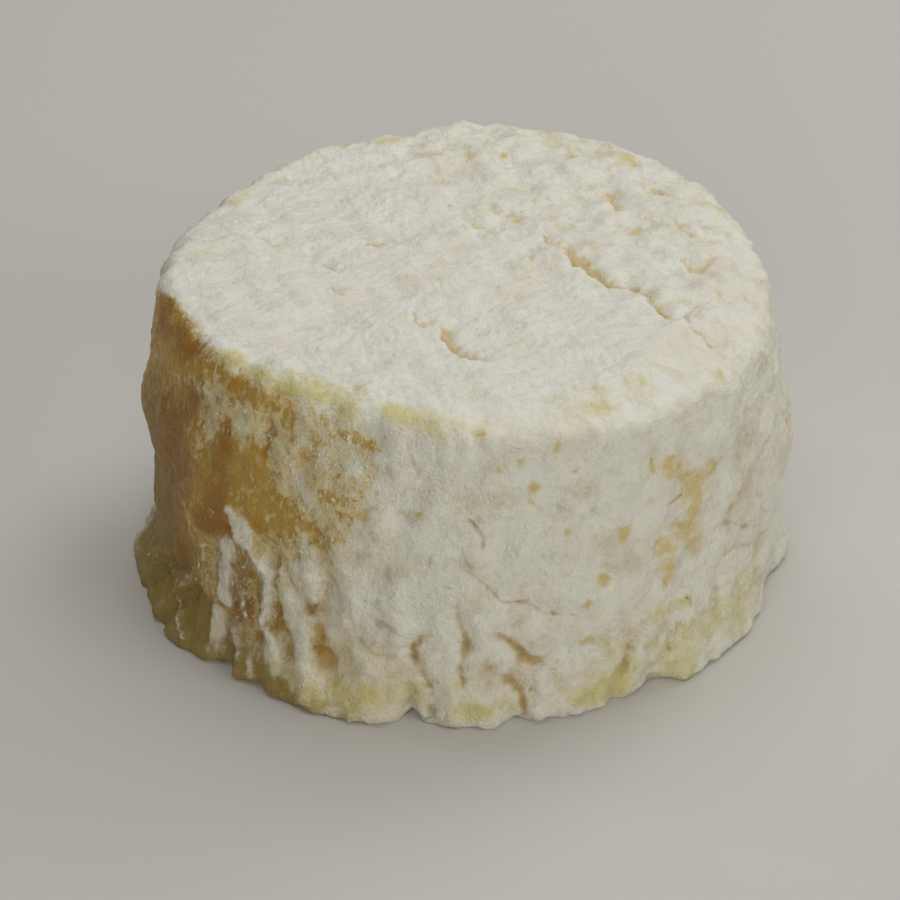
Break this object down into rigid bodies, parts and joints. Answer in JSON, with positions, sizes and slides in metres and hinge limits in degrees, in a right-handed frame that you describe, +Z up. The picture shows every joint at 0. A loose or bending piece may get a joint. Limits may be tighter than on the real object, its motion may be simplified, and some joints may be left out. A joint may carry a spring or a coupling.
{
  "type": "cheese wheel",
  "caption": "Small soft cheese wheel with a wrinkled white rind, spread foot and rack lines across its flat top, uncut.",
  "frame": {"origin": "under the middle of the wheel's outline, on the flat face it stands on", "axes": "+Z up from the standing face to the flat top; -Y towards the side with the folds and the notched foot, -X towards the bare amber patch"},
  "size_m": [0.0814, 0.0792, 0.0408],
  "materials": {
    "rind": "matte off-white mould rind, bare and amber in patches, over a soft cheese"
  },
  "bodies": {
    "root": {"cheese_wheel": "rind"}
  },
  "joints": []
}
